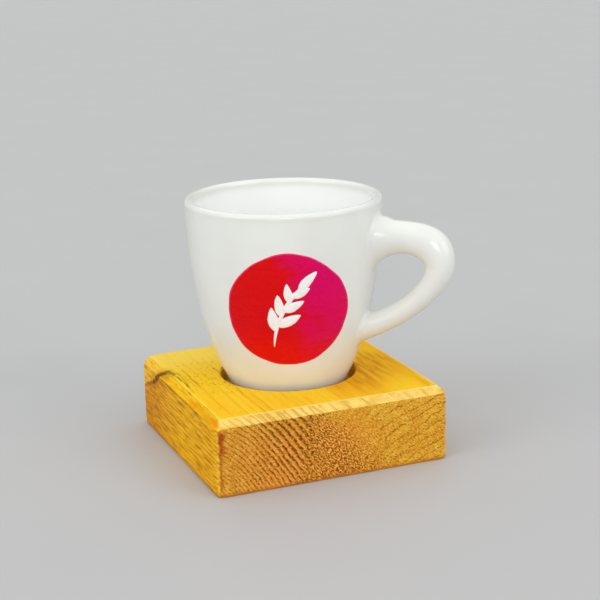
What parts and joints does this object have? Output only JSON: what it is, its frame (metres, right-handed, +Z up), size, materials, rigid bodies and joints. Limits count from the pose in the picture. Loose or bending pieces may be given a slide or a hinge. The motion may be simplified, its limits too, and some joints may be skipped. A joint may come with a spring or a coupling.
{
  "type": "espresso cup",
  "caption": "Small white ceramic cup with an ear handle and a painted patch, standing in the round seat of its own square wooden block and lifting straight out.",
  "frame": {"origin": "on the table under the cup's axis, in the middle of the block's underside", "axes": "+Z up along the cup's axis, +X along the handle away from the cup, +Y to the left of the handle seen from above"},
  "size_m": [0.1137, 0.112, 0.085],
  "materials": {
    "narrow_board": "amber oiled and varnished softwood, semi-gloss",
    "wide_board": "amber oiled and varnished softwood, semi-gloss",
    "cup_body": "clear gloss glaze over white ware",
    "cup_handle": "clear gloss glaze over white ware",
    "painted_patch": "hand-brushed red to magenta enamel, gloss",
    "painted_motif": "raised white enamel strokes, gloss"
  },
  "bodies": {
    "base": {"narrow_board": "narrow_board", "wide_board": "wide_board"},
    "cup": {"cup_body": "cup_body", "cup_handle": "cup_handle", "painted_patch": "painted_patch", "painted_motif": "painted_motif"}
  },
  "joints": [
    {"name": "cup_lift", "type": "slide", "parent": "base", "child": "cup", "axis": [0, 0, 1], "range_m": [0, 0.04]}
  ]
}
